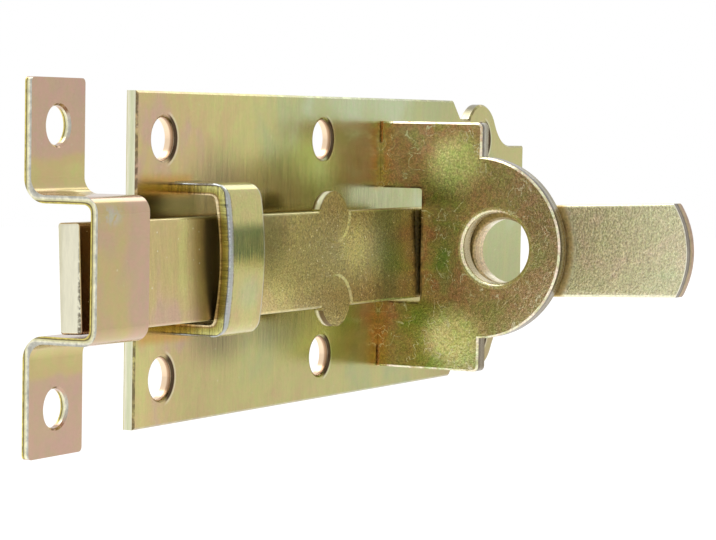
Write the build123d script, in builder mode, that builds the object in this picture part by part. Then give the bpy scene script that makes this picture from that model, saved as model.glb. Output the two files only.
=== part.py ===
from build123d import *
import os
from math import sqrt

# Padbolt of plated steel sheet, as mounted on a door.
# +X runs along the bolt towards its handle, -Y points out of the door and +Z is up.
# The origin lies on the back of the plate, in the middle of its four outer screw holes.

# Back plate
plate_length = 150.0
plate_width = 55.0
plate_thick = 2.0
screw_bore = 7.0
screw_roll = 0.55           # rounding of each hole's front rim, left by the punch
screw_pitch_x = 121.5       # first to last pair of holes
screw_pitch_z = 39.4        # upper to lower row
screw_middle = 54.1         # first to middle pair
screw_margin = 8.1          # plate's square end to the first pair
plate_edge = 0.35           # bevel along the front edges
plate_corner = 0.8

# Shaped end of the plate
lobe_radius = 7.2
waist_radius = 9.0          # hollow curve between lobe and tab
tab_width = 37.0
tab_corner = 1.5
nick_depth = 3.6            # depth of the nick beside the lobe
nick_ramp = 3.4             # length of its slanted side
nick_place = 116.3          # start of the slanted side, from the plate's square end

# Bolt and its bent handle
bolt_width = 17.0
bolt_thick = 4.0
bolt_lift = 4.1             # space under the middle of the bolt
bolt_drop = 1.4             # the bolt rests this far below the centre line
bolt_roll = 2.3             # degrees; it leans in its play, the handle's tip upwards
bolt_edge = 0.5
nose_reach = 27.8           # nose past the plate's square end
bend_radius = 1.5           # inside the bend
handle_length = 60.0        # corners of the handle's end above the plate's back
handle_crown = 2.4          # rise of its rounded end
handle_bore = 12.0
handle_bore_edge = 0.4

# Stop ears, squeezed out of the bolt's edges by a round punch
ear_place = 53.2            # from the plate's square end
ear_reach = 3.5
ear_half = 5.2
ear_thick = 2.1
ear_roll = 0.7              # rounding of its under edge
coin_radius = 5.4           # floor of the punch's mark
coin_depth = 0.3
coin_slope = 55             # degrees; the mark's wall leans out from the punch's way

# Padlock lug
lug_place = 85.1            # front face, from the plate's square end
lug_thick = 3.0
lug_width = 46.4
lug_shoulder = 23.0         # height of the shoulders above the plate's back
lug_height = 39.2
tongue_radius = 16.9
lug_corner = 1.0
lug_bore = 13.2
lug_bore_height = 26.2
lug_bore_roll = 0.7
lug_edge = 0.35
notch_width = 21.4
notch_gap = 0.7             # over the middle of the bolt
notch_corner = 0.6
lug_seat = 0.8              # step beside the notch that stands on the plate
lug_tenon = 7.7
lug_foot_gap = 0.35         # outer feet stand this far off the plate
handle_gap = 0.8            # lug to handle when the bolt is shut

# Guide strap over the bolt
guide_place = 10.2          # from the plate's square end
guide_length = 11.6
guide_thick = 2.0
guide_play = 0.75           # beside the bolt, on the side it rests on
guide_gap = 0.45            # strap's corners over the middle of the bolt
guide_crown = 1.2
guide_bend = 3.0            # outside radius of the bends
guide_roll = 0.6
guide_shoulder = 1.5        # step each side of a leg's tenon

# Keeper on the frame
keeper_place = 13.8         # gap between the plate and the keeper
keeper_length = 14.5
keeper_height = 58.6
keeper_thick = 1.25
keeper_drop = 0.2
keeper_play = 0.4           # beside the bolt, on the side it rests on
keeper_gap = 2.1            # over the middle of the bolt
keeper_bend = 2.6           # outside radius of the crown's bends
keeper_foot_bend = 3.8      # outside radius of the feet's bends
keeper_bore = 6.2
keeper_bore_edge = 0.35
keeper_pitch = 43.8
keeper_corner = 0.8

slot_clearance = 0.05       # round each tenon in its slot
near = 0.01                 # how close an edge or corner lies to the place it is picked by

# Places worked out from the sizes above
end_x = -screw_pitch_x / 2 - screw_margin
middle_x = -screw_pitch_x / 2 + screw_middle
bolt_under = plate_thick + bolt_lift
bolt_middle = bolt_under + bolt_thick / 2
bolt_top = bolt_under + bolt_thick
handle_reach = handle_length - bolt_middle
nose_x = end_x - nose_reach
lug_x = end_x + lug_place
handle_x = lug_x + lug_thick + handle_gap
guide_x = end_x + guide_place
guide_inner = bolt_width / 2 + bolt_drop + guide_play
guide_outer = guide_inner + guide_thick
guide_under = bolt_top + guide_gap
guide_top = guide_under + guide_thick
guide_tenon = guide_length - 2 * guide_shoulder
notch_top = bolt_top + notch_gap
tenon_inner = notch_width / 2 + lug_seat
tenon_outer = tenon_inner + lug_tenon
tenon_middle = (tenon_inner + tenon_outer) / 2
lug_foot = plate_thick + lug_foot_gap
keeper_x = end_x - keeper_place - keeper_length
keeper_inner = bolt_width / 2 + bolt_drop - keeper_drop + keeper_play
keeper_top = bolt_top + keeper_gap + keeper_thick
nick_x = end_x + nick_place
far_x = end_x + plate_length
waist_x = screw_pitch_x / 2 + sqrt(lobe_radius**2 - (screw_pitch_z / 2 - tab_width / 2) ** 2)
ear_x = end_x + ear_place

# Section planes facing -X: local x points out of the door and local y is up
lug_plane = Plane(origin=(lug_x, 0, 0), x_dir=(0, -1, 0), z_dir=(-1, 0, 0))
guide_plane = Plane(origin=(guide_x, 0, 0), x_dir=(0, -1, 0), z_dir=(-1, 0, 0))
keeper_plane = Plane(origin=(keeper_x, 0, -keeper_drop), x_dir=(0, -1, 0), z_dir=(-1, 0, 0))

# Face planes looking out of the door: local x is +X and local y is up
keeper_face = Plane(origin=(keeper_x, 0, -keeper_drop), x_dir=(1, 0, 0), z_dir=(0, -1, 0))

# Planes through the bolt's middle line, turned with it
bolt_side = Plane(origin=(0, -bolt_middle, -bolt_drop)).rotated((-bolt_roll, 0, 0))
bolt_face = Plane(origin=bolt_side.origin, x_dir=(1, 0, 0), z_dir=-bolt_side.y_dir)
handle_plane = Plane(
    origin=(handle_x, -bolt_middle, -bolt_drop), x_dir=-bolt_side.y_dir, z_dir=(-1, 0, 0)
)
across_bolt = Axis(bolt_side.origin, bolt_side.z_dir)
out_of_bolt = Axis(bolt_side.origin, bolt_face.z_dir)

# Back plate: a blanked sheet, square at one end and shaped at the other
with BuildPart() as back_plate:
    with BuildSketch(Plane.XZ) as blank:
        with BuildLine():
            Polyline(
                (end_x, 0),
                (end_x, plate_width / 2),
                (nick_x, plate_width / 2),
                (nick_x + nick_ramp, plate_width / 2 - nick_depth),
                (screw_pitch_x / 2, plate_width / 2 - nick_depth),
                (screw_pitch_x / 2, 0),
                close=True,
            )
        make_face()
        with Locations((screw_pitch_x / 2, screw_pitch_z / 2)):
            Circle(lobe_radius)
        mirror(about=Plane.XZ)
        with Locations((far_x, 0)):
            Rectangle(far_x - screw_pitch_x / 2, tab_width, align=(Align.MAX, Align.CENTER))
        corners = blank.vertices()
        fillet(corners.filter_by_position(Axis.X, waist_x - near, waist_x + near), waist_radius)
        fillet(corners.filter_by_position(Axis.X, far_x - near, far_x + near), tab_corner)
        fillet(corners.filter_by_position(Axis.X, end_x - near, end_x + near), plate_corner)
    extrude(amount=plate_thick)
    chamfer(back_plate.faces().sort_by(Axis.Y)[0].edges(), plate_edge)
    with BuildSketch(Plane.XZ):
        with GridLocations(screw_pitch_x, screw_pitch_z, 2, 2):
            Circle(screw_bore / 2)
        with Locations((middle_x, 0)):
            with GridLocations(0, screw_pitch_z, 1, 2):
                Circle(screw_bore / 2)
    extrude(amount=plate_thick, mode=Mode.SUBTRACT)
    fillet(back_plate.faces().sort_by(Axis.Y)[0].inner_wires().edges(), screw_roll)
    with BuildSketch(Plane.XZ):
        with Locations((guide_x + guide_length / 2, 0)):
            with GridLocations(0, guide_inner + guide_outer, 1, 2):
                Rectangle(guide_tenon + 2 * slot_clearance, guide_thick + 2 * slot_clearance)
        with Locations((lug_x + lug_thick / 2, 0)):
            with GridLocations(0, 2 * tenon_middle, 1, 2):
                Rectangle(lug_thick + 2 * slot_clearance, lug_tenon + 2 * slot_clearance)
    extrude(amount=plate_thick, mode=Mode.SUBTRACT)

# Guide: a bent strap with a crowned top, riveted through the plate by a tenon on each leg
with BuildPart() as guide:
    with BuildSketch(guide_plane) as section:
        with BuildLine():
            Line((guide_top, -guide_outer), (plate_thick, -guide_outer))
            Line((plate_thick, -guide_outer), (plate_thick, guide_outer))
            Line((plate_thick, guide_outer), (guide_top, guide_outer))
            ThreePointArc(
                (guide_top, guide_outer), (guide_top + guide_crown, 0), (guide_top, -guide_outer)
            )
        make_face()
        with BuildLine():
            Line((guide_under, -guide_inner), (plate_thick, -guide_inner))
            Line((plate_thick, -guide_inner), (plate_thick, guide_inner))
            Line((plate_thick, guide_inner), (guide_under, guide_inner))
            ThreePointArc(
                (guide_under, guide_inner), (guide_under + guide_crown, 0), (guide_under, -guide_inner)
            )
        make_face(mode=Mode.SUBTRACT)
        corners = section.vertices()
        fillet(corners.filter_by_position(Axis.X, guide_top - near, guide_top + near), guide_bend)
        corners = section.vertices()
        fillet(
            corners.filter_by_position(Axis.X, guide_under - near, guide_under + near),
            guide_bend - guide_thick,
        )
    extrude(amount=-guide_length)
    rims = guide.faces().sort_by(Axis.X)[0].edges() + guide.faces().sort_by(Axis.X)[-1].edges()
    outer_rims = rims.filter_by(
        lambda edge: abs(edge.center().Z) > guide_inner + guide_thick / 4
        or -edge.center().Y > guide_top
    )
    fillet(outer_rims.filter_by(lambda edge: -edge.center().Y > plate_thick + near), guide_roll)
    with BuildSketch(Plane.XZ):
        with Locations((guide_x + guide_length / 2, 0)):
            with GridLocations(0, guide_inner + guide_outer, 1, 2):
                Rectangle(guide_tenon, guide_thick)
    extrude(amount=plate_thick)

# Padlock lug: thick sheet standing on the plate, with two riveted tenons and a notch for the bolt
with BuildPart() as lug:
    with BuildSketch(lug_plane) as outline:
        with Locations((lug_foot, 0)):
            Rectangle(lug_shoulder - lug_foot, lug_width, align=(Align.MIN, Align.CENTER))
        outer_corners = outline.vertices().group_by(Axis.X)[-1]
        fillet(outer_corners, lug_corner)
        with Locations((lug_height - tongue_radius, 0)):
            Circle(tongue_radius)
        with Locations((plate_thick, 0)):
            Rectangle(lug_foot, tenon_outer * 2, align=(Align.MIN, Align.CENTER))
        with Locations((0, -tenon_middle), (0, tenon_middle)):
            Rectangle(lug_foot, lug_tenon, align=(Align.MIN, Align.CENTER))
        with Locations((plate_thick, 0)):
            Rectangle(
                notch_top - plate_thick,
                notch_width,
                align=(Align.MIN, Align.CENTER),
                mode=Mode.SUBTRACT,
            )
        with Locations((lug_bore_height, 0)):
            Circle(lug_bore / 2, mode=Mode.SUBTRACT)
        corners = outline.vertices()
        fillet(corners.filter_by_position(Axis.X, notch_top - near, notch_top + near), notch_corner)
    extrude(amount=-lug_thick)
    front = lug.faces().sort_by(Axis.X)[0]
    fillet(front.inner_wires().edges(), lug_bore_roll)
    upper_edges = front.outer_wire().edges().filter_by(
        lambda edge: -edge.center().Y > lug_foot + near
    )
    chamfer(
        upper_edges.filter_by(
            lambda edge: abs(edge.center().Z) > notch_width / 2 + near
            or -edge.center().Y > notch_top + near
        ),
        lug_edge,
    )

# Bolt: a flat bar bent out into the handle, with two stop ears coined out of its edges
with BuildPart() as bolt:
    with BuildSketch(bolt_side):
        with BuildLine():
            FilletPolyline(
                (nose_x, -bolt_thick / 2),
                (handle_x, -bolt_thick / 2),
                (handle_x, -handle_reach - handle_crown),
                radius=bend_radius,
            )
            offset(amount=bolt_thick, side=Side.LEFT)
        make_face()
    extrude(amount=bolt_width / 2, both=True)
    sides = bolt.edges().group_by(across_bolt)
    nose_edges = bolt.faces().sort_by(Axis.X)[0].edges().filter_by(across_bolt)
    fillet(sides[0] + sides[-1] + nose_edges, bolt_edge)
    with BuildSketch(handle_plane):
        with BuildLine():
            ThreePointArc(
                (handle_reach, -bolt_width / 2),
                (handle_reach + handle_crown, 0),
                (handle_reach, bolt_width / 2),
            )
            Polyline(
                (handle_reach, bolt_width / 2),
                (handle_reach + 2 * handle_crown, bolt_width / 2),
                (handle_reach + 2 * handle_crown, -bolt_width / 2),
                (handle_reach, -bolt_width / 2),
            )
        make_face()
        with Locations((lug_bore_height - bolt_middle, 0)):
            Circle(handle_bore / 2)
    extrude(amount=-bolt_thick, mode=Mode.SUBTRACT)
    rims = bolt.edges().filter_by(GeomType.CIRCLE).filter_by(
        lambda edge: abs(edge.radius - handle_bore / 2) < near
    )
    chamfer(rims, handle_bore_edge)
    with BuildSketch(bolt_face.offset(bolt_thick / 2 - coin_depth - ear_thick)):
        with BuildLine():
            ThreePointArc(
                (ear_x - ear_half, bolt_width / 2 - bolt_edge),
                (ear_x, bolt_width / 2 + ear_reach),
                (ear_x + ear_half, bolt_width / 2 - bolt_edge),
            )
            Polyline(
                (ear_x + ear_half, bolt_width / 2 - bolt_edge),
                (ear_x + ear_half, bolt_width / 4),
                (ear_x - ear_half, bolt_width / 4),
                (ear_x - ear_half, bolt_width / 2 - bolt_edge),
            )
        make_face()
        mirror(about=Plane.XZ)
    extrude(amount=ear_thick)
    tips = bolt.edges().filter_by(GeomType.CIRCLE).filter_by(
        lambda edge: abs((edge @ 0.5).X - ear_x) < near
        and abs((edge @ 0.5).Z + bolt_drop) > bolt_width / 2 + ear_reach / 2
    )
    fillet(tips.group_by(out_of_bolt)[0], ear_roll)
    with BuildSketch(bolt_face.offset(bolt_thick / 2 - coin_depth)):
        with Locations((ear_x, bolt_width / 2), (ear_x, -bolt_width / 2)):
            Circle(coin_radius)
    extrude(amount=coin_depth, taper=-coin_slope, mode=Mode.SUBTRACT)

# Keeper: a hat-shaped strap with a screw hole in each foot
with BuildPart() as keeper:
    with BuildSketch(keeper_plane):
        with BuildLine():
            FilletPolyline(
                (0, -keeper_height / 2),
                (0, -keeper_inner),
                (keeper_top - keeper_thick, -keeper_inner),
                (keeper_top - keeper_thick, keeper_inner),
                (0, keeper_inner),
                (0, keeper_height / 2),
                radius=[
                    keeper_foot_bend,
                    keeper_bend - keeper_thick,
                    keeper_bend - keeper_thick,
                    keeper_foot_bend,
                ],
            )
            offset(amount=keeper_thick, side=Side.RIGHT)
        make_face()
    extrude(amount=-keeper_length)
    ends = keeper.edges().filter_by(Axis.Y)
    fillet(ends.group_by(Axis.Z)[0] + ends.group_by(Axis.Z)[-1], keeper_corner)
    with BuildSketch(keeper_face):
        with Locations((keeper_length / 2, 0)):
            with GridLocations(0, keeper_pitch, 1, 2):
                Circle(keeper_bore / 2)
    extrude(amount=keeper_thick, mode=Mode.SUBTRACT)
    rims = keeper.edges().filter_by(GeomType.CIRCLE).filter_by(
        lambda edge: abs(edge.radius - keeper_bore / 2) < near
    )
    chamfer(rims.group_by(Axis.Y)[0], keeper_bore_edge)

os.makedirs("parts", exist_ok=True)

back_plate.part.label = "back_plate"
export_step(back_plate.part, "parts/back_plate.step")

guide.part.label = "guide"
export_step(guide.part, "parts/guide.step")

lug.part.label = "padlock_lug"
export_step(lug.part, "parts/padlock_lug.step")

bolt.part.label = "bolt"
export_step(bolt.part, "parts/bolt.step")

keeper.part.label = "keeper"
export_step(keeper.part, "parts/keeper.step")
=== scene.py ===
from math import cos, radians, sin

import bmesh
import bpy
from mathutils import Matrix, Vector


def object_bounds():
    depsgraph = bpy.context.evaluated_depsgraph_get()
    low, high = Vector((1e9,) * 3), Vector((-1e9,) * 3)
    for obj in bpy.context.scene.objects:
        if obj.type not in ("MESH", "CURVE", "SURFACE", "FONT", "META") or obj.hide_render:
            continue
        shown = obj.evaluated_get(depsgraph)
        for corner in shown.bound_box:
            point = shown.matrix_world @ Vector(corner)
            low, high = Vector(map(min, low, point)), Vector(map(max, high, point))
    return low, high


# Padbolt in yellow passivated zinc plate, in the frame of its CAD model.
# +X runs along the bolt to its handle, -Y points out of the door, +Z is up. Metres.
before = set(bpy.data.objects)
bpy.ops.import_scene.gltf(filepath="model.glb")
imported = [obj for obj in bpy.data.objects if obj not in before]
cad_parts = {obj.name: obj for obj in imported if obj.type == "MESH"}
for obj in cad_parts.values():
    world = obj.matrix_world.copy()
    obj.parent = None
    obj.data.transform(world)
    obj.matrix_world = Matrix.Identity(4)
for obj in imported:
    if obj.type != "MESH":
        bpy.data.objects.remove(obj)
cad_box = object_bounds()
MM = 0.001

# Lens and standpoint of the photograph, worked out from the part's own edges and hole rims
PHOTO_WIDTH = 716                       # pixels
FOCAL_PIXELS = 2658.6
SENSOR = 36.0                           # mm
CAMERA_YAW = radians(62.046)            # off the door's normal, towards the bolt's nose
CAMERA_PITCH = radians(3.209)
CAMERA_ROLL = radians(0.958)
CAMERA_TARGET = Vector((2.128, -5.0, -4.285)) * MM
CAMERA_DISTANCE = 490.3 * MM

# The film's colours, linear, and the tones of bare, sheared and sooty metal
CREAM = (0.76, 0.73, 0.56)
MIST = (0.47, 0.52, 0.31)
SAGE = (0.43, 0.455, 0.21)
STRAW = (0.53, 0.485, 0.19)
TAN = (0.53, 0.42, 0.19)
ROSE = (0.52, 0.365, 0.245)
RUST = (0.43, 0.27, 0.16)
PEACH = (0.86, 0.66, 0.46)
STEEL = (0.46, 0.47, 0.42)
BURR = (0.10, 0.075, 0.045)

# Places on the part that the looks follow, in mm
FIRST_HOLES_X = -60.75                  # middle of the left pair of screw holes
HOLE_STEPS = (54.1, 121.5)              # from there to the middle pair and the right one
HOLE_ROW_Z = 19.7                       # of each row of screw holes, up or down
HOLE_SHARE = 14.25                      # how far before a pair its part of the plate begins
NOTCH_TOP_OUT = 10.8                    # top of the lug's notch, off the plate's back
NOTCH_HALF = 10.7
TONGUE_MIDDLE_OUT = 22.3                # middle of the lug's round tongue
LUG_FRONT_X = 16.25                     # face of the lug towards the guide
LUG_THICK = 3.0
PADLOCK_HOLE_OUT = 26.2                 # middle of the padlock's hole, off the plate's back
HANDLE_FRONT_X = 20.05
BAR_THICK = 4.0
BAR_DROP = 1.4                          # of the bar's middle


class Wire:
    """A node's output that takes part in arithmetic; each sign adds one Math node."""

    def __init__(self, finish, socket):
        self.finish = finish
        self.socket = socket

    def maths(self, operation, *values, clamp=False):
        sockets = dict(enumerate(values))
        return self.finish.node(
            "ShaderNodeMath", {"operation": operation, "use_clamp": clamp}, sockets
        )

    def __add__(self, other):
        return self.maths("ADD", self, other)

    def __sub__(self, other):
        return self.maths("SUBTRACT", self, other)

    def __rsub__(self, other):
        return self.maths("SUBTRACT", other, self)

    def __mul__(self, other):
        return self.maths("MULTIPLY", self, other)

    def __truediv__(self, other):
        return self.maths("DIVIDE", self, other)

    def __pow__(self, other):
        return self.maths("POWER", self, other)

    def __abs__(self):
        return self.maths("ABSOLUTE", self)

    def most(self, other):
        return self.maths("MAXIMUM", self, other)

    def held(self):
        """Kept between 0 and 1."""
        return self.maths("ADD", self, 0.0, clamp=True)

    __radd__ = __add__
    __rmul__ = __mul__


class Finish:
    """One procedural material, read in millimetres of the object's own coordinates."""

    def __init__(self, name):
        self.material = bpy.data.materials.new(name)
        self.material.use_nodes = True
        self.tree = self.material.node_tree
        self.tree.nodes.clear()
        coordinates = self.tree.nodes.new("ShaderNodeTexCoord")
        self.place = self.vector("SCALE", Wire(self, coordinates.outputs["Object"]), Scale=1 / MM)
        self.x, self.y, self.z = self.split(self.place)
        self.facing = [abs(part) for part in self.split(Wire(self, coordinates.outputs["Normal"]))]

    def node(self, kind, settings, sockets, output=0):
        made = self.tree.nodes.new(kind)
        for name, value in settings.items():
            if name == "stops":
                self.fill(made.color_ramp, value)
            else:
                setattr(made, name, value)
        for name, value in sockets.items():
            if isinstance(value, Wire):
                self.tree.links.new(value.socket, made.inputs[name])
            else:
                made.inputs[name].default_value = value
        return Wire(self, made.outputs[output]) if made.outputs else made

    @staticmethod
    def fill(ramp, stops):
        while len(ramp.elements) < len(stops):
            ramp.elements.new(1.0)
        for element, (position, colour) in zip(ramp.elements, stops):
            element.position = position
            element.color = (*colour, 1.0)

    def vector(self, operation, *vectors, **sockets):
        named = {i: v for i, v in enumerate(vectors)}
        named.update(sockets)
        return self.node("ShaderNodeVectorMath", {"operation": operation}, named)

    def split(self, vector):
        made = self.node("ShaderNodeSeparateXYZ", {}, {0: vector}).socket.node
        return [Wire(self, output) for output in made.outputs]

    def moved(self, offset=(0, 0, 0), stretch=(1, 1, 1)):
        """Coordinates in mm, shifted and then divided by the size that a grain has each way."""
        shifted = self.vector("ADD", self.place, tuple(offset))
        return self.vector("MULTIPLY", shifted, tuple(1 / s for s in stretch))

    def noise(self, offset=(0, 0, 0), stretch=(1, 1, 1), detail=2.0, roughness=0.5, warp=0.0):
        return self.node(
            "ShaderNodeTexNoise",
            {"noise_dimensions": "3D"},
            {
                "Vector": self.moved(offset, stretch),
                "Scale": 1.0,
                "Detail": detail,
                "Roughness": roughness,
                "Distortion": warp,
            },
        )

    def ramp(self, value, stops, interpolation="EASE"):
        made = self.node("ShaderNodeValToRGB", {"stops": stops}, {"Fac": value})
        made.socket.node.color_ramp.interpolation = interpolation
        return made

    def step(self, value, low, high):
        """0 below low and 1 above high, smooth between them; falls where low is the larger."""
        return self.node(
            "ShaderNodeMapRange",
            {"interpolation_type": "SMOOTHSTEP"},
            {"Value": value, "From Min": low, "From Max": high, "To Min": 0.0, "To Max": 1.0},
        )

    def mix(self, factor, one, two, blend="MIX"):
        made = self.tree.nodes.new("ShaderNodeMix")
        made.data_type = "RGBA"
        made.blend_type = blend
        inputs = {0: factor, 6: one, 7: two}
        for index, value in inputs.items():
            if isinstance(value, Wire):
                self.tree.links.new(value.socket, made.inputs[index])
            elif index:
                made.inputs[index].default_value = (*value, 1.0)
            else:
                made.inputs[index].default_value = value
        return Wire(self, made.outputs[2])

    def metal(self, colour, roughness, height, distance=0.06):
        """Bare metal under the film: colour and roughness vary, height in mm makes the relief."""
        relief = self.node(
            "ShaderNodeBump", {}, {"Height": height, "Strength": 1.0, "Distance": distance * MM}
        )
        shader = self.node(
            "ShaderNodeBsdfPrincipled",
            {},
            {"Base Color": colour, "Roughness": roughness, "Metallic": 1.0, "Normal": relief},
        )
        self.node("ShaderNodeOutputMaterial", {}, {"Surface": shader})
        return self.material


def film(finish, thickness, palette):
    """Colour of the passivation film by its thickness, from 0 to 1 through a palette."""
    last = len(palette) - 1
    return finish.ramp(thickness, [(0.04 + 0.92 * i / last, c) for i, c in enumerate(palette)])


def drift(finish, seed, size, detail=2.0):
    """Slow change over the surface, about -0.5 to 0.5."""
    offset = (seed, 3 * seed, -seed)
    return finish.noise(offset, size, detail=detail, roughness=0.55, warp=0.5) - 0.5


def patch(finish, centre, reach):
    """1 in the middle of an ellipsoid in mm, fading to 0 at its rim."""
    offset = finish.vector("SUBTRACT", finish.place, centre)
    offset = finish.vector("MULTIPLY", offset, tuple(1 / r for r in reach))
    length = finish.node(
        "ShaderNodeVectorMath", {"operation": "LENGTH"}, {0: offset}, output="Value"
    )
    return finish.step(length, 1.0, 0.25)


def grey(finish, value):
    """A colour of one brightness, to multiply another with."""
    return finish.node("ShaderNodeCombineColor", {}, {"Red": value, "Green": value, "Blue": value})


def dimmed(finish, colour, value):
    return finish.mix(1.0, colour, grey(finish, value), "MULTIPLY")


def grained(finish, colour, seed, speckle, streak, along, hue_share):
    """Pits and rolling marks: fine light and dark grain that is a little pink and green."""
    pits = finish.noise((0, seed, 0), (0.42, 0.42, 0.42), detail=2.5, roughness=0.75) - 0.5
    lines = finish.noise((seed, 0, 0), along, detail=3.0, roughness=0.65) - 0.5
    hue = finish.noise((seed, 5, 1), (1.5, 1.5, 1.5), detail=3.0, roughness=0.7)
    greener = tuple(1 - c * hue_share for c in (0.55, -0.25, 0.9))
    pinker = tuple(1 - c * hue_share for c in (-0.6, 0.4, -0.3))
    tinted = finish.mix(
        finish.step(hue, 0.35, 0.65),
        finish.mix(1.0, colour, greener, "MULTIPLY"),
        finish.mix(1.0, colour, pinker, "MULTIPLY"),
    )
    colour = dimmed(finish, tinted, 1 + 2.4 * speckle * pits + 2.0 * streak * lines)
    return colour, pits, lines


def hairlines(finish, seed, where):
    """Fine curling scratches, in patches."""
    swirl = finish.noise((seed, 7, 7), (3.2, 3.2, 3.2), detail=2.0, roughness=0.5, warp=0.6)
    thin = finish.step(abs(swirl - 0.5), 0.015, 0.004)
    patches = finish.step(finish.noise((9, seed, 9), (3, 3, 3), detail=3.0), 0.43, 0.58)
    return thin * patches * where


def glints(finish, seed, share):
    """Painted glints: small bright dots of painted highlight on some of the high points."""
    cells = finish.node(
        "ShaderNodeTexVoronoi",
        {"feature": "F1"},
        {"Vector": finish.moved((seed, 0, seed), (0.9, 0.9, 0.9)), "Scale": 1.0},
        output="Distance",
    )
    chance = finish.split(Wire(finish, cells.socket.node.outputs["Color"]))[0]
    return finish.step(cells, 0.24, 0.08) * finish.step(chance, 1 - share, 1.05 - share)


def plated(
    finish, colour, cut, cut_colour, seed,
    speckle=0.15, streak=0.1, along=(0.35, 0.35, 6.0), rough=0.2, hairs=0.0, dots=0.04, wave=1.4,
    hue_share=0.06,
):
    """Film on the faces, its cut edges, and the grain, scratches, painted glints and waves over
    both.
    """
    colour, pits, lines = grained(finish, colour, seed, speckle, streak, along, hue_share)
    # the hairline scratches are wear; the glints added to them are painted highlights
    scratches_and_glints = hairs * hairlines(finish, seed, 1 - cut) + glints(finish, seed, dots) * 0.6
    colour = finish.mix(scratches_and_glints.held(), colour, CREAM)
    colour = finish.mix(cut, colour, cut_colour)
    swell = finish.noise((0, 0, seed), (15, 15, 15), detail=1.0)
    height = 0.9 * speckle * pits + 0.5 * streak * lines + wave * swell
    roughness = rough + 0.25 * speckle * pits + 0.10 * cut + 0.12 * scratches_and_glints
    return finish.metal(colour, roughness, height)


def sheared(finish, depth, stops, tear, strength=1.1):
    """A cut edge: bands from the outer face (0) to the inner one (1), torn by the shear."""
    drag = finish.noise((0, 5, 5), (3, 3, 3), detail=2.0) - 0.5
    bands = finish.ramp(depth + 0.14 * tear + 0.10 * drag, stops)
    return dimmed(finish, bands, 1 + strength * tear)


def torn(finish, seed, along):
    """Fine ragged noise, about -0.5 to 0.5."""
    return finish.noise((seed, seed, 0), along, detail=3.0, roughness=0.75) - 0.5


def strap_depth(finish, half, rise, crown, thick, foot, bend, drop=0.0):
    """How deep a point lies in a bent strap: 0 at its outer face and 1 at its inner one."""
    up = abs(finish.z + drop)
    out = -1 * finish.y
    dome = rise + crown * (1 - (up / half) ** 2) if crown else rise
    legs = up - half
    hat = legs.maths("SMOOTH_MAX", out - dome, legs, bend)
    if foot:
        hat = hat.maths("SMOOTH_MIN", out - thick, hat, bend)
    return -1 / thick * hat


def bevel_line(finish, axis, seed):
    """The bevel or burr along an edge, broken up as a punch or shear leaves it."""
    facing = finish.facing[axis]
    bevel = finish.step(facing, 0.985, 0.90) * finish.step(facing, 0.30, 0.55)
    ragged = finish.noise((seed, 2, 2), (1.7, 1.7, 1.7), detail=4.0, roughness=0.7)
    return bevel * finish.step(ragged, 0.34, 0.56)


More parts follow.
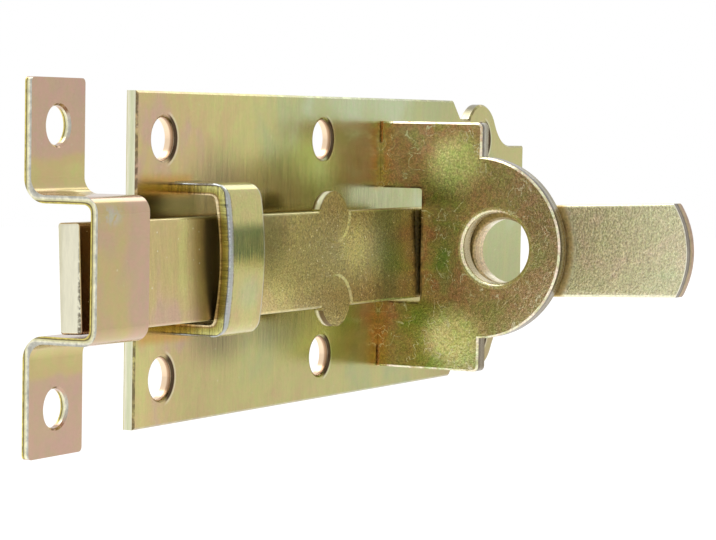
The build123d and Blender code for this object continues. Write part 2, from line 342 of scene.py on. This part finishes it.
def plate_finish(finish):
    left = finish.step(finish.x, -30, -60)
    right = finish.step(finish.x, -36, 6)
    low = finish.step(finish.z, 6, -10)
    front = finish.step(finish.y, -1.2, -1.8)
    end = finish.step(finish.x, 22, 50)
    thickness = 0.47 + 0.28 * left * (1 - 0.5 * low) - 0.32 * right * (1 - 0.8 * low)
    thickness = thickness + 0.26 * end * finish.step(abs(finish.z), 8, 17)
    thickness = thickness + 0.80 * drift(finish, 3.0, (17, 17, 17)) + 0.06 * low * left
    thickness = thickness + 0.35 * drift(finish, 8.0, (6, 6, 9)) * (1 + left)
    colour = film(finish, thickness, (MIST, SAGE, STRAW, TAN, ROSE))
    colour = dimmed(finish, colour, 1 - 0.13 * end * finish.step(abs(finish.z), 8, 17))
    # painted reflection and shade: the plate coloured darker around the lug, where the lug is
    # mirrored in its face
    painted_lug_reflection_on_plate = front * patch(finish, (10, -2, 0), (28, 8, 21))
    colour = finish.mix(painted_lug_reflection_on_plate * 0.65, colour, (0.317, 0.305, 0.127))
    # painted reflection and shade: the plate coloured darker beside the guide
    painted_guide_reflection_on_plate = front * patch(finish, (-43, -2, 8), (15, 8, 14)).most(
        patch(finish, (-42, -2, -12), (14, 8, 9))
    )
    colour = finish.mix(painted_guide_reflection_on_plate * 0.85, colour, (0.25, 0.205, 0.10))
    # painted reflection and shade: the plate coloured darker along the bolt
    painted_bolt_reflection_on_plate = front * patch(finish, (-22, -2, 10), (20, 8, 11)).most(
        patch(finish, (-20, -2, -13), (18, 8, 6))
    )
    colour = finish.mix(painted_bolt_reflection_on_plate * 0.75, colour, (0.265, 0.24, 0.115))
    # painted shade: the plate coloured dark where it lies under the guide's legs
    painted_shade_in_guide = finish.step(abs(abs(finish.z) - 8.6), 3.2, 1.6)
    painted_shade_in_guide = painted_shade_in_guide * finish.step(abs(finish.x + 60.5), 12, 9)
    colour = finish.mix(front * painted_shade_in_guide * 0.85, colour, (0.18, 0.15, 0.05))
    rusty = front * patch(finish, (-38, -2, 10), (9, 8, 3)) * 0.5
    colour = finish.mix(rusty, colour, (0.42, 0.25, 0.08))
    colour = dimmed(finish, colour, 1 - 0.17 * low * finish.step(finish.x, -66, -50))
    colour = finish.mix(front * corner_soot(finish), colour, (0.50, 0.29, 0.07))
    feet = finish.step(abs(abs(finish.z) - 17.0), 6.3, 6.1)
    under_foot = front * feet * finish.step(abs(finish.x - 17.75), 1.6, 1.4)
    colour = finish.mix(under_foot, colour, (0.86, 0.66, 0.36))
    bore = plate_bore(finish)
    edge = finish.step(finish.facing[1], 0.55, 0.40)
    depth = -0.5 * finish.y
    stops = [(0.0, CREAM), (0.55, (0.62, 0.64, 0.42)), (0.9, CREAM), (1.0, STRAW)]
    face = sheared(finish, 1 - depth, stops, torn(finish, 4.0, (0.5, 0.5, 7.0)), 0.5)
    long_edge = finish.step(finish.facing[2], 0.5, 0.8)
    face = finish.mix(long_edge * 0.85, face, (0.20, 0.175, 0.11))
    wall_stops = [
        (0.0, PEACH), (0.42, PEACH), (0.62, RUST), (0.80, (0.25, 0.16, 0.09)), (0.95, CREAM),
    ]
    inner = finish.ramp(depth, wall_stops)
    cut_colour = finish.mix(bore, face, inner)
    rim, right_side = hole_rim(finish)
    # painted shade and painted highlight on the +X side of each screw hole's rolled rim: a dark
    # ring, then a pale ring outside it
    painted_rim_shade = right_side * finish.step(abs(rim - 3.82), 0.54, 0.32)
    colour = finish.mix(painted_rim_shade, colour, (0.06, 0.035, 0.018))
    painted_rim_highlight = right_side * finish.step(abs(rim - 4.5), 0.32, 0.12)
    colour = finish.mix(painted_rim_highlight * 0.35, colour, CREAM)
    line = bevel_line(finish, 1, 11.0) * (0.8 - 0.3 * bore - 0.5 * long_edge)
    colour = finish.mix(line, colour, BURR)
    streak = 0.12 + 0.42 * (painted_lug_reflection_on_plate + painted_guide_reflection_on_plate + painted_bolt_reflection_on_plate).held()
    return plated(finish, colour, edge, cut_colour, 3.0, speckle=0.09, streak=streak)


def corner_soot(finish):
    """1 where brown film lies: beside the guide's legs and in front of the lug's feet."""
    guide_leg = finish.step(abs(abs(finish.z) - 12.0), 2.6, 0.8)
    guide_leg = guide_leg * finish.step(abs(finish.x + 60.0), 10.0, 6.0)
    blotch = finish.step(finish.noise((4, 4, 4), (4, 4, 4), detail=3.0), 0.35, 0.6)
    lug_foot = finish.step(abs(finish.x - 15.6), 5.5, 0.4) * finish.step(abs(finish.z), 24, 22)
    lug_foot = lug_foot * finish.step(abs(finish.z), 9.5, 11.5)
    return (0.85 * guide_leg + 0.65 * lug_foot * blotch).held()


def plate_bore(finish):
    """1 on the walls of the screw holes."""
    rows = abs(abs(finish.z) - HOLE_ROW_Z)
    half = HOLE_STEPS[0] / 2
    columns = abs(abs(finish.x - (FIRST_HOLES_X + half)) - half)
    last_column = abs(finish.x - (FIRST_HOLES_X + HOLE_STEPS[1]))
    in_row = finish.step(rows, 4.6, 4.2)
    left_pairs = in_row * finish.step(columns, 4.6, 4.2)
    right_pair = in_row * finish.step(last_column, 4.6, 4.2)
    return left_pairs.most(right_pair)


def hole_rim(finish):
    """Distance in mm from the nearest screw hole's middle, and 1 on the hole's +X side."""
    across = abs(abs(finish.z) - HOLE_ROW_Z)
    from_first = finish.x - FIRST_HOLES_X
    along = from_first
    for middle in HOLE_STEPS:
        begin = FIRST_HOLES_X - HOLE_SHARE + middle
        past = finish.step(finish.x, begin, begin + 0.1)
        along = past * (from_first - middle) + (1 - past) * along
    return (across ** 2 + along ** 2) ** 0.5, finish.step(along, 0.8, 2.4)


def guide_finish(finish):
    thickness = 0.47 + 1.0 * drift(finish, 21.0, (8, 8, 8))
    colour = film(finish, thickness, (SAGE, STRAW, STRAW, TAN, ROSE))
    colour = dimmed(finish, colour, 0.90)
    brushed = finish.noise((25, 2, 0), (0.4, 0.4, 5.0), detail=2.0)
    height = finish.z + 2.5 * brushed
    shade = finish.step(height, 0.2, 2.8) * finish.step(height, 8.2, 5.8)
    shade = shade * finish.step(finish.y, -11.5, -12.8)
    colour = finish.mix(shade * (0.35 + brushed), colour, (0.13, 0.17, 0.07))
    cool = patch(finish, (-52, -13.5, -5.5), (5, 3, 4)) * 0.6
    colour = finish.mix(cool, colour, (0.42, 0.45, 0.24))
    flutes = finish.step(torn(finish, 25.0, (0.5, 2, 0.35)), -0.12, 0.12)
    colour = finish.mix(finish.step(finish.x, -57.4, -57.8) * 0.85, colour, (0.36, 0.38, 0.40))
    side_edge = finish.step(abs(finish.x + 57.5), 0.3, 0.1) * 0.6 * flutes
    colour = finish.mix(side_edge, colour, BURR)
    colour = finish.mix(finish.step(finish.x, -48.0, -47.5) * 0.7, colour, (0.46, 0.48, 0.46))
    depth = strap_depth(
        finish, half=12.65, rise=12.55, crown=1.2, thick=2.0, foot=False, bend=2.2
    )
    stops = [
        (0.0, STEEL), (0.12, (0.40, 0.42, 0.42)), (0.20, (0.14, 0.12, 0.07)),
        (0.30, (0.54, 0.52, 0.20)), (0.68, (0.40, 0.36, 0.10)), (0.84, (0.30, 0.20, 0.07)),
        (0.93, (0.80, 0.66, 0.40)),
    ]
    on_legs = finish.step(abs(finish.z), 9.6, 11.0)
    across = finish.mix(on_legs, grey(finish, torn(finish, 23.0, (3, 3, 0.32)) + 0.5),
                        grey(finish, torn(finish, 24.0, (3, 0.32, 3)) + 0.5))
    tear = finish.split(across)[0] - 0.5
    side = sheared(finish, depth, stops, tear, 2.5)
    edge = finish.step(finish.facing[0], 0.45, 0.75) * finish.step(finish.x, -50, -54)
    return plated(finish, colour, edge, side, 21.0, speckle=0.16, streak=0.16, rough=0.16)


def lug_finish(finish):
    thickness = 0.50 + 1.8 * drift(finish, 37.0, (8.0, 8.0, 8.0), 3.0)
    thickness = thickness + 0.30 * patch(finish, (16, -9, 17.5), (6, 12, 8))
    thickness = thickness - 0.34 * patch(finish, (16, -16, -18), (6, 16, 9))
    thickness = thickness + 0.30 * patch(finish, (16, -30, -7), (6, 14, 4))
    thickness = thickness - 0.30 * patch(finish, (16, -14, -2), (6, 4, 5))
    thickness = thickness + 0.25 * patch(finish, (16, -37, 0), (6, 6, 12))
    colour = film(
        finish, thickness,
        (
            (0.28, 0.37, 0.09), (0.36, 0.36, 0.11), (0.44, 0.34, 0.15),
            (0.47, 0.26, 0.14), (0.52, 0.35, 0.22), (0.48, 0.47, 0.24),
        ),
    )
    reddish = patch(finish, (16, -9.5, 17.0), (6, 7.5, 9))
    colour = finish.mix(reddish * 0.5, colour, (0.43, 0.29, 0.17))
    # painted light: the lug's face coloured paler towards its top
    bright = finish.step(-1 * finish.y, 10, 32) * 0.52
    colour = finish.mix(bright, colour, (0.66, 0.60, 0.42))
    # painted highlights: two pale gold-green spots on the lug's face, above and below its hole
    for height in (15.5, -17.0):
        painted_highlight = patch(finish, (16, -18.0, height), (6, 8, 7.4)) * 0.95
        colour = finish.mix(painted_highlight, colour, (0.88, 0.93, 0.50))
    out = -1 * finish.y
    low_feet = finish.step(out, 5.5, 1.8) * finish.step(abs(finish.z), 9, 11)
    colour = finish.mix(0.6 * low_feet, colour, (0.50, 0.32, 0.08))
    notch = (out - NOTCH_TOP_OUT).most(abs(finish.z) - NOTCH_HALF)
    ragged = finish.step(finish.noise((3, 3, 3), (1.5, 1.5, 1.5), detail=3.0), 0.35, 0.6)
    colour = finish.mix(0.8 * ragged * finish.step(notch, 0.55, 0.2), colour, BURR)
    ring = abs(bore_distance(finish) - 7.0)
    colour = finish.mix(finish.step(ring, 0.75, 0.5) * 0.85, colour, (0.74, 0.68, 0.46))
    outline = bevel_line(finish, 0, 31.0) * finish.step(bore_distance(finish), 7.6, 8.0)
    colour = finish.mix(outline * 0.8, colour, (0.80, 0.76, 0.58))
    back = finish.step(finish.x, 18.9, 19.2)
    colour = finish.mix(back, colour, (0.68, 0.60, 0.38))
    depth = (finish.x - LUG_FRONT_X) / LUG_THICK
    stops = [
        (0.0, CREAM), (0.05, CREAM), (0.14, (0.10, 0.08, 0.06)), (0.32, (0.16, 0.14, 0.10)),
        (0.52, (0.40, 0.38, 0.30)), (0.78, (0.30, 0.27, 0.19)), (0.95, (0.36, 0.32, 0.22)),
    ]
    side = sheared(finish, depth, stops, torn(finish, 33.0, (0.4, 1.4, 1.4)))
    side = dimmed(finish, side, 1 - 0.3 * finish.step(finish.facing[2], 0.5, 0.9))
    # painted shade: the lower part of the tongue's outer rim coloured dark
    painted_shade_lower_rim = finish.step(finish.z, -4, -12) * finish.step(out, 18, 24)
    side = finish.mix(painted_shade_lower_rim * 0.75, side, (0.17, 0.125, 0.065))
    bore_wall = finish.step(bore_distance(finish), 7.2, 6.9)
    side = finish.mix(bore_wall, side, (0.42, 0.35, 0.19))
    side = finish.mix(finish.step(notch, 0.10, 0.04), side, (0.82, 0.68, 0.40))
    side = finish.mix(finish.step(abs(out - 2.35), 0.35, 0.20), side, (0.86, 0.66, 0.36))
    edge = finish.step(finish.facing[0], 0.45, 0.30)
    return plated(
        finish, colour, edge, side, 37.0,
        speckle=0.72, streak=0.04, along=(1, 1, 1), rough=0.17 + 0.4 * back, hairs=0.8, dots=0.24,
        hue_share=0.12,
    )


def bore_distance(finish):
    """Distance from the middle of the padlock's hole in the lug."""
    return ((-1 * finish.y - PADLOCK_HOLE_OUT) ** 2 + abs(finish.z) ** 2) ** 0.5


def bolt_finish(finish):
    drifted = drift(finish, 55.0, (10, 10, 10), 3.0)
    bands = finish.noise((5, 5, 5), (4, 30, 40), detail=1.0) - 0.5
    thickness = 0.52 + 0.7 * drifted + 0.5 * bands + 0.22 * finish.step(finish.z, -5, -9)
    thickness = thickness + 0.20 * finish.step(finish.x, -57, -64)
    colour = film(finish, thickness, (SAGE, STRAW, STRAW, TAN, ROSE))
    coarse = finish.step(finish.x, -58, -20)
    colour = finish.mix(0.66 * coarse, colour, (0.30, 0.26, 0.105))
    dull = patch(finish, (-42, -10, 3.5), (13, 6, 9))
    bright = patch(finish, (-38, -10, -8.5), (13, 6, 5))
    colour = dimmed(finish, colour, 1 - 0.34 * dull + 0.24 * bright)
    colour = finish.mix(dull * 0.28, colour, (0.06, 0.045, 0.008))
    blob = patch(finish, (-9, -10, 1.0), (7.5, 6, 7))
    colour = finish.mix(blob * 0.55, colour, (0.60, 0.54, 0.17))
    # painted reflection: the bolt coloured dark green where it mirrors the lug
    wander = finish.x + 7 * (finish.noise((2, 2, 2), (5, 5, 5), detail=3.0) - 0.5)
    painted_lug_reflection_on_bolt = finish.step(wander, -3.5, 3.0) * finish.step(wander, 13, 5)
    colour = finish.mix(painted_lug_reflection_on_bolt * 0.85, colour, (0.185, 0.215, 0.085))
    # painted light: the bolt coloured paler where it lies in shade under the lug's notch, and made
    # rougher there
    painted_light_in_notch = finish.step(finish.x, 15.2, 15.8) * finish.step(finish.x, 17.6, 17.0)
    colour = finish.mix(painted_light_in_notch * 0.9, colour, (0.52, 0.43, 0.20))
    # painted shade: the bolt coloured darker where it runs under the guide
    painted_shade_under_guide = finish.step(finish.x, -67.5, -62.0) * finish.step(finish.x, -46, -50)
    colour = finish.mix(painted_shade_under_guide * 0.75, colour, (0.28, 0.19, 0.07))
    out = -1 * finish.y
    underside = finish.step(out, 7.0, 6.6) * finish.step(finish.x, 17, 16)
    beyond_bar = finish.step(abs(finish.z + BAR_DROP), 8.7, 9.0) * finish.step(out, 15, 12)
    under_ears = beyond_bar * finish.step(out, 8.9, 8.4) * finish.step(finish.facing[1], 0.7, 0.9)
    colour = finish.mix(underside.most(under_ears), colour, (0.84, 0.64, 0.34))
    outer = finish.step(out, 12, 34)
    light = film(
        finish, 0.5 + 1.3 * drifted, ((0.58, 0.68, 0.42), (0.66, 0.64, 0.42), (0.74, 0.58, 0.48))
    )
    colour = finish.mix(outer, colour, light)
    # painted highlight: a pale strip along the lower edge of the handle's face
    painted_lower_edge_highlight = finish.step(finish.z, -7.0, -7.8) * finish.step(out, 20, 30)
    colour = finish.mix(painted_lower_edge_highlight * 0.7, colour, (0.86, 0.82, 0.62))
    # painted shade: the handle coloured darker and made rougher where it stands behind the lug's
    # tongue
    from_tongue = ((out - TONGUE_MIDDLE_OUT) ** 2 + abs(finish.z) ** 2) ** 0.5
    painted_shade_behind_lug = finish.step(from_tongue, 18.7, 17.4) * finish.step(out, 13, 17)
    painted_shade_behind_lug = painted_shade_behind_lug * finish.step(finish.x, 22.4, 21.6)
    colour = finish.mix(painted_shade_behind_lug * 0.9, colour, (0.46, 0.33, 0.12))
    from_eye = ((out - PADLOCK_HOLE_OUT) ** 2 + (finish.z + 0.7) ** 2) ** 0.5
    colour = finish.mix(finish.step(from_eye, 6.5, 6.1), colour, (0.54, 0.42, 0.24))
    facing_x, facing_y, facing_z = finish.facing
    nose = finish.step(facing_x, 0.55, 0.85) * finish.step(finish.x, -90, -94)
    tip = finish.step(facing_y, 0.55, 0.85) * finish.step(finish.y, -56, -59)
    sides = finish.step(facing_z, 0.60, 0.85)
    ears = beyond_bar * finish.step(facing_y, 0.8, 0.5)
    depth = (finish.x - HANDLE_FRONT_X) / BAR_THICK
    stops = [
        (0.0, CREAM), (0.08, CREAM), (0.16, (0.14, 0.11, 0.08)), (0.32, (0.24, 0.21, 0.16)),
        (0.46, (0.09, 0.06, 0.04)), (0.60, (0.36, 0.27, 0.11)), (0.80, (0.35, 0.23, 0.14)),
    ]
    end = sheared(finish, depth, stops, torn(finish, 51.0, (0.7, 1.0, 1.0)), 1.6)
    side_stops = [(0.0, TAN), (0.6, STRAW), (1.0, CREAM)]
    bar = sheared(finish, out / 14, side_stops, torn(finish, 52.0, (4, 0.6, 0.6)))
    blank_stops = [(0.0, (0.60, 0.57, 0.40)), (0.3, (0.72, 0.69, 0.53)), (1.0, (0.74, 0.71, 0.55))]
    blank = sheared(finish, (out - 6) / 4, blank_stops, torn(finish, 53.0, (0.5, 0.9, 5)), 0.35)
    burr = finish.step(out, 9.5, 9.9) * finish.step(torn(finish, 54.0, (1, 1, 1)), -0.1, 0.06)
    blank = finish.mix(burr * 0.85, blank, BURR)
    cut_colour = finish.mix(tip, finish.mix(nose, bar, blank), end)
    # the ears' flanks: dark at their foot, then a painted near-white highlight across the middle
    # and painted dark shade where they meet the ear's face
    flank_highlight_stops = [
        (0.0, BURR), (0.26, (0.30, 0.21, 0.10)), (0.44, (0.97, 0.95, 0.84)),
        (0.64, (0.90, 0.86, 0.68)), (0.80, (0.20, 0.14, 0.07)),
    ]
    flank_with_highlight = finish.ramp((out - 7.3) / 2.6, flank_highlight_stops)
    cut_colour = finish.mix(ears, cut_colour, flank_with_highlight)
    edge = (nose + tip + 0.7 * sides + ears).held()
    speckle = 0.13 + 0.90 * coarse * (1 - 0.4 * outer)
    rough = 0.22 + 0.14 * painted_shade_under_guide + 0.3 * (painted_shade_behind_lug + 0.6 * painted_light_in_notch)
    return plated(
        finish, colour, edge, cut_colour, 55.0,
        speckle=speckle, streak=0.20, along=(0.45, 0.45, 5.0), rough=rough,
        hairs=0.18 * coarse, dots=0.10, hue_share=0.04,
    )


def keeper_finish(finish):
    bends = finish.step(abs(abs(finish.z + 0.2) - 14), 5, 1) * finish.step(-1 * finish.y, 9, 1)
    crown_left = finish.step(finish.y, -12, -12.8) * finish.step(finish.x, -84, -91)
    thickness = 0.80 + 0.6 * drift(finish, 80.0, (11, 11, 11)) - 0.38 * bends - 0.27 * crown_left
    colour = film(finish, thickness, (SAGE, STRAW, TAN, ROSE, (0.51, 0.345, 0.26)))
    flecks = finish.step(finish.noise((1, 2, 3), (1.2, 1.2, 1.2), detail=3.0), 0.40, 0.58)
    blue = patch(finish, (-93.5, -13, 8.2), (4.4, 3, 2.2)) * flecks * 0.4
    colour = finish.mix(blue, colour, (0.46, 0.52, 0.58))
    colour = dimmed(finish, colour, 0.94 - 0.05 * crown_left)
    depth = strap_depth(
        finish, half=11.35, rise=13.45, crown=0, thick=1.25, foot=True, bend=2.6, drop=0.2
    )
    stops = [
        (0.0, (0.44, 0.43, 0.37)), (0.22, (0.52, 0.51, 0.44)), (0.34, CREAM),
        (0.60, (0.66, 0.63, 0.36)), (0.74, (0.16, 0.12, 0.06)), (0.90, (0.62, 0.52, 0.14)),
    ]
    side = sheared(finish, depth, stops, torn(finish, 83.0, (1.0, 1.1, 1.1)), 1.3)
    edge = finish.step(finish.facing[0], 0.45, 0.75)
    return plated(finish, colour, edge, side, 80.0, speckle=0.06, streak=0.03)


FINISHES = {
    "back_plate": ("plate_steel", plate_finish),
    "guide": ("guide_steel", guide_finish),
    "padlock_lug": ("lug_steel", lug_finish),
    "bolt": ("bolt_steel", bolt_finish),
    "keeper": ("keeper_steel", keeper_finish),
}

for node, (slot, finish_of) in FINISHES.items():
    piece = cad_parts[node]
    piece.data.materials.clear()
    piece.data.materials.append(finish_of(Finish(f"passivated_{node}")))


# Studio: a white floor well below the part, in an evenly white room
def studio_floor(drop=0.22, radius=6.0):
    mesh = bpy.data.meshes.new("studio_floor")
    form = bmesh.new()
    bmesh.ops.create_circle(form, cap_ends=True, segments=96, radius=radius)
    form.to_mesh(mesh)
    form.free()
    mesh.transform(Matrix.Translation((0, 0, cad_box[0].z - drop)))
    floor = bpy.data.objects.new("studio_floor", mesh)
    bpy.context.scene.collection.objects.link(floor)
    white = bpy.data.materials.new("white_paper")
    white.use_nodes = True
    paper = white.node_tree.nodes["Principled BSDF"]
    paper.inputs["Base Color"].default_value = (0.9, 0.9, 0.9, 1)
    paper.inputs["Roughness"].default_value = 0.9
    paper.inputs["Emission Color"].default_value = (1, 1, 1, 1)
    paper.inputs["Emission Strength"].default_value = 0.18
    mesh.materials.append(white)


def studio_room(strength=1.0):
    world = bpy.data.worlds.new("white_room")
    world.use_nodes = True
    light = world.node_tree.nodes["Background"]
    light.inputs["Color"].default_value = (1, 1, 1, 1)
    light.inputs["Strength"].default_value = strength
    bpy.context.scene.world = world


def soft_light(name, place, target, size, power):
    data = bpy.data.lights.new(name, "AREA")
    data.shape = "RECTANGLE"
    data.size, data.size_y = size
    data.energy = power
    lamp = bpy.data.objects.new(name, data)
    bpy.context.scene.collection.objects.link(lamp)
    way = Vector(target) - Vector(place)
    lamp.location = place
    lamp.rotation_euler = way.to_track_quat("-Z", "Y").to_euler()
    lamp.visible_camera = False


def photo_camera():
    """Stands where the photograph was taken from, with the same lens and tilt."""
    back = Vector(
        (
            -sin(CAMERA_YAW) * cos(CAMERA_PITCH),
            -cos(CAMERA_YAW) * cos(CAMERA_PITCH),
            sin(CAMERA_PITCH),
        )
    )
    right = Vector((0, 0, 1)).cross(back).normalized()
    up = back.cross(right)
    rolled_right = cos(CAMERA_ROLL) * right + sin(CAMERA_ROLL) * up
    rolled_up = -sin(CAMERA_ROLL) * right + cos(CAMERA_ROLL) * up
    data = bpy.data.cameras.new("photo_camera")
    data.sensor_width = SENSOR
    data.lens = SENSOR * FOCAL_PIXELS / PHOTO_WIDTH
    data.clip_start = 0.01
    data.clip_end = 50.0
    camera = bpy.data.objects.new("photo_camera", data)
    bpy.context.scene.collection.objects.link(camera)
    turn = Matrix((rolled_right, rolled_up, back)).transposed().to_4x4()
    camera.matrix_world = Matrix.Translation(CAMERA_TARGET + back * CAMERA_DISTANCE) @ turn
    bpy.context.scene.camera = camera


studio_floor()
studio_room()
soft_light("overhead_softbox", (0.0, 0.25, 0.8), (-0.02, 0, 0), (0.6, 0.6), 3.0)
soft_light("side_softbox", (1.0, 0.1, 0.80), (0, 0, 0), (0.5, 0.4), 1.1)
photo_camera()
bpy.context.scene.view_settings.view_transform = "Standard"
